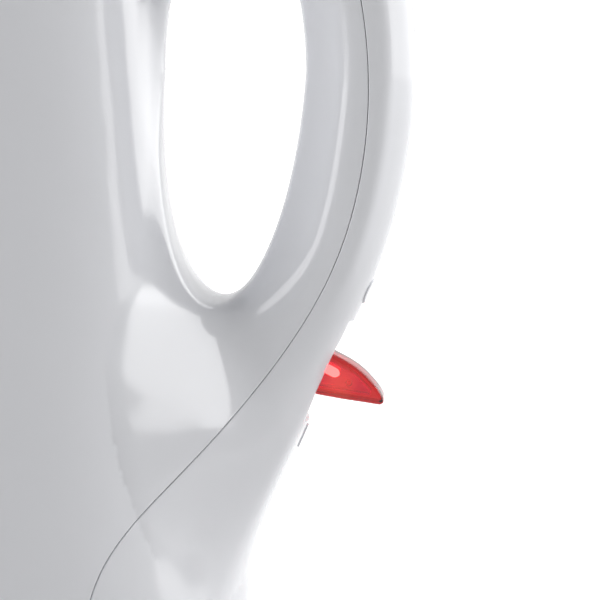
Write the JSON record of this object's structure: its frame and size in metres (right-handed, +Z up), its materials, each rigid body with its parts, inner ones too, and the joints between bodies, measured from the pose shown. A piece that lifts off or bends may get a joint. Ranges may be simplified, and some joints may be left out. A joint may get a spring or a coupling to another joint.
{
  "type": "electric kettle",
  "caption": "Moulded jug kettle with a spout, hinged lid, loop handle with a rear cover, pointed lit switch lever and a round power base that the jug turns on and lifts off.",
  "frame": {"origin": "on the axis of the jug and the base, on the surface that the base stands on", "axes": "+Z up along the jug's axis, +X towards the handle, -X towards the spout"},
  "size_m": [0.1896, 0.15, 0.256],
  "materials": {
    "white_plastic": "glossy moulded",
    "red_plastic": "translucent moulded",
    "clear_plastic": "clear moulded",
    "lamp_glass": "clear blown",
    "grey_plastic": "moulded",
    "black_plastic": "moulded phenolic",
    "stainless_steel": "brushed",
    "brass": "rolled",
    "rubber": "moulded",
    "silicone": "moulded"
  },
  "bodies": {
    "power_base": {"base_shell": "white_plastic", "base_bottom": "grey_plastic", "base_feet": "rubber", "base_screws": "stainless_steel", "contact_strips": "brass", "terminal_block": "white_plastic", "cord_gland": "grey_plastic"},
    "connector": {"connector_post": "black_plastic", "contact_rings": "brass", "earth_pin": "brass"},
    "jug": {"jug_body": "white_plastic", "handle_cover": "white_plastic", "water_window_near": "clear_plastic", "water_window_far": "clear_plastic", "switch_housing": "black_plastic", "lever_pin": "stainless_steel", "detent_spring": "stainless_steel", "steam_bimetal": "brass", "filter_frame": "white_plastic", "filter_mesh": "stainless_steel", "heating_plate": "stainless_steel", "plate_seal": "silicone", "heating_element": "stainless_steel", "control_unit": "black_plastic", "control_bimetals": "brass", "connector_socket": "black_plastic", "socket_contacts": "brass", "bottom_cover": "grey_plastic", "bottom_screws": "stainless_steel", "lid_hinge_pin": "stainless_steel"},
    "lid": {"lid_shell": "white_plastic", "lid_inner": "white_plastic", "lid_grip": "white_plastic"},
    "lever": {"switch_lever": "red_plastic", "neon_lamp": "lamp_glass"}
  },
  "joints": [
    {"name": "swivel", "type": "hinge", "parent": "power_base", "child": "connector", "pos_m": [0, 0, 0], "axis": [0, 0, 1], "continuous": true},
    {"name": "lift", "type": "slide", "parent": "connector", "child": "jug", "axis": [0, 0, 1], "range_m": [0, 0.06]},
    {"name": "lid_hinge", "type": "hinge", "parent": "jug", "child": "lid", "pos_m": [0.0535, 0, 0.2418], "axis": [0, 1, 0], "range_deg": [0, 80]},
    {"name": "switch_rock", "type": "hinge", "parent": "jug", "child": "lever", "pos_m": [0.08325, 0, 0.10061], "axis": [0, -1, 0], "range_deg": [0, 15]}
  ]
}
